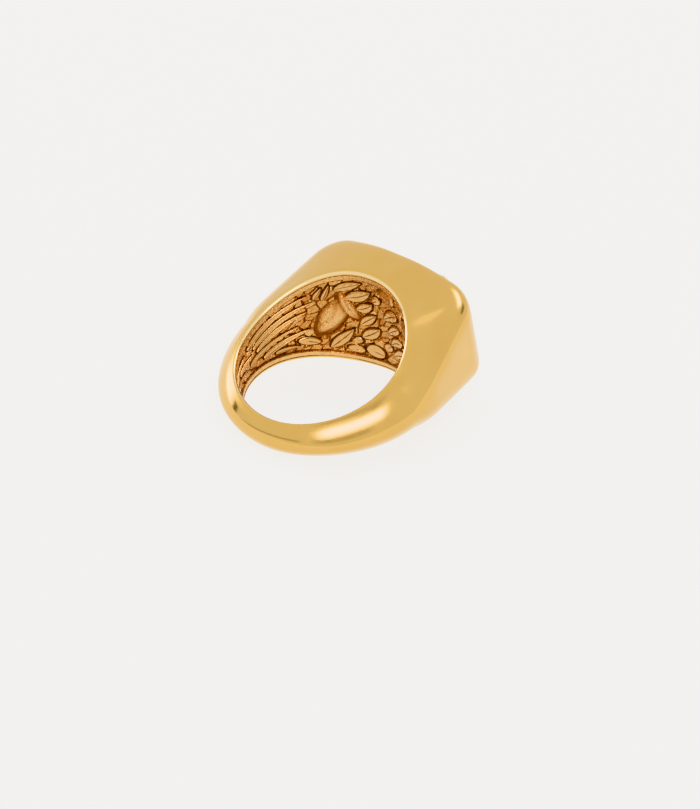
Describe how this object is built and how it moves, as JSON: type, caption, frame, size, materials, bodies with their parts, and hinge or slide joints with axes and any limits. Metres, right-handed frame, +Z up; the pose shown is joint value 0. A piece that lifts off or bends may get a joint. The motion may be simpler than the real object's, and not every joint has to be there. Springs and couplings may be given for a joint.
{
  "type": "signet ring",
  "caption": "Gold signet ring with a wide flat face, tapering shank and a relief-decorated lining inside the band.",
  "frame": {"origin": "centre of the finger hole, half way along its axis", "axes": "the ring lies at rest on its side: +Z is up, +X points level from the hole's centre towards the signet face, +Y runs across the face; the hole's axis lies in the XZ plane, tilted back from +Z by the rest tilt"},
  "size_m": [0.0244, 0.0234, 0.0132],
  "materials": {
    "polished_gold": "mirror-polished pale yellow gold",
    "face_gold": "mirror-polished pale yellow gold, flat lapped",
    "rim_gold": "polished pale yellow gold wire",
    "satin_gold": "satin, grained and darkened gold ground",
    "relief_gold": "satin gold relief with rubbed tops"
  },
  "bodies": {
    "root": {"outer_shell": "polished_gold", "face_plate": "face_gold", "inner_sleeve": "satin_gold", "rim_wire_upper": "rim_gold", "rim_wire_lower": "rim_gold", "relief_blades": "relief_gold", "relief_leaves": "relief_gold", "relief_stones": "relief_gold"}
  },
  "joints": []
}
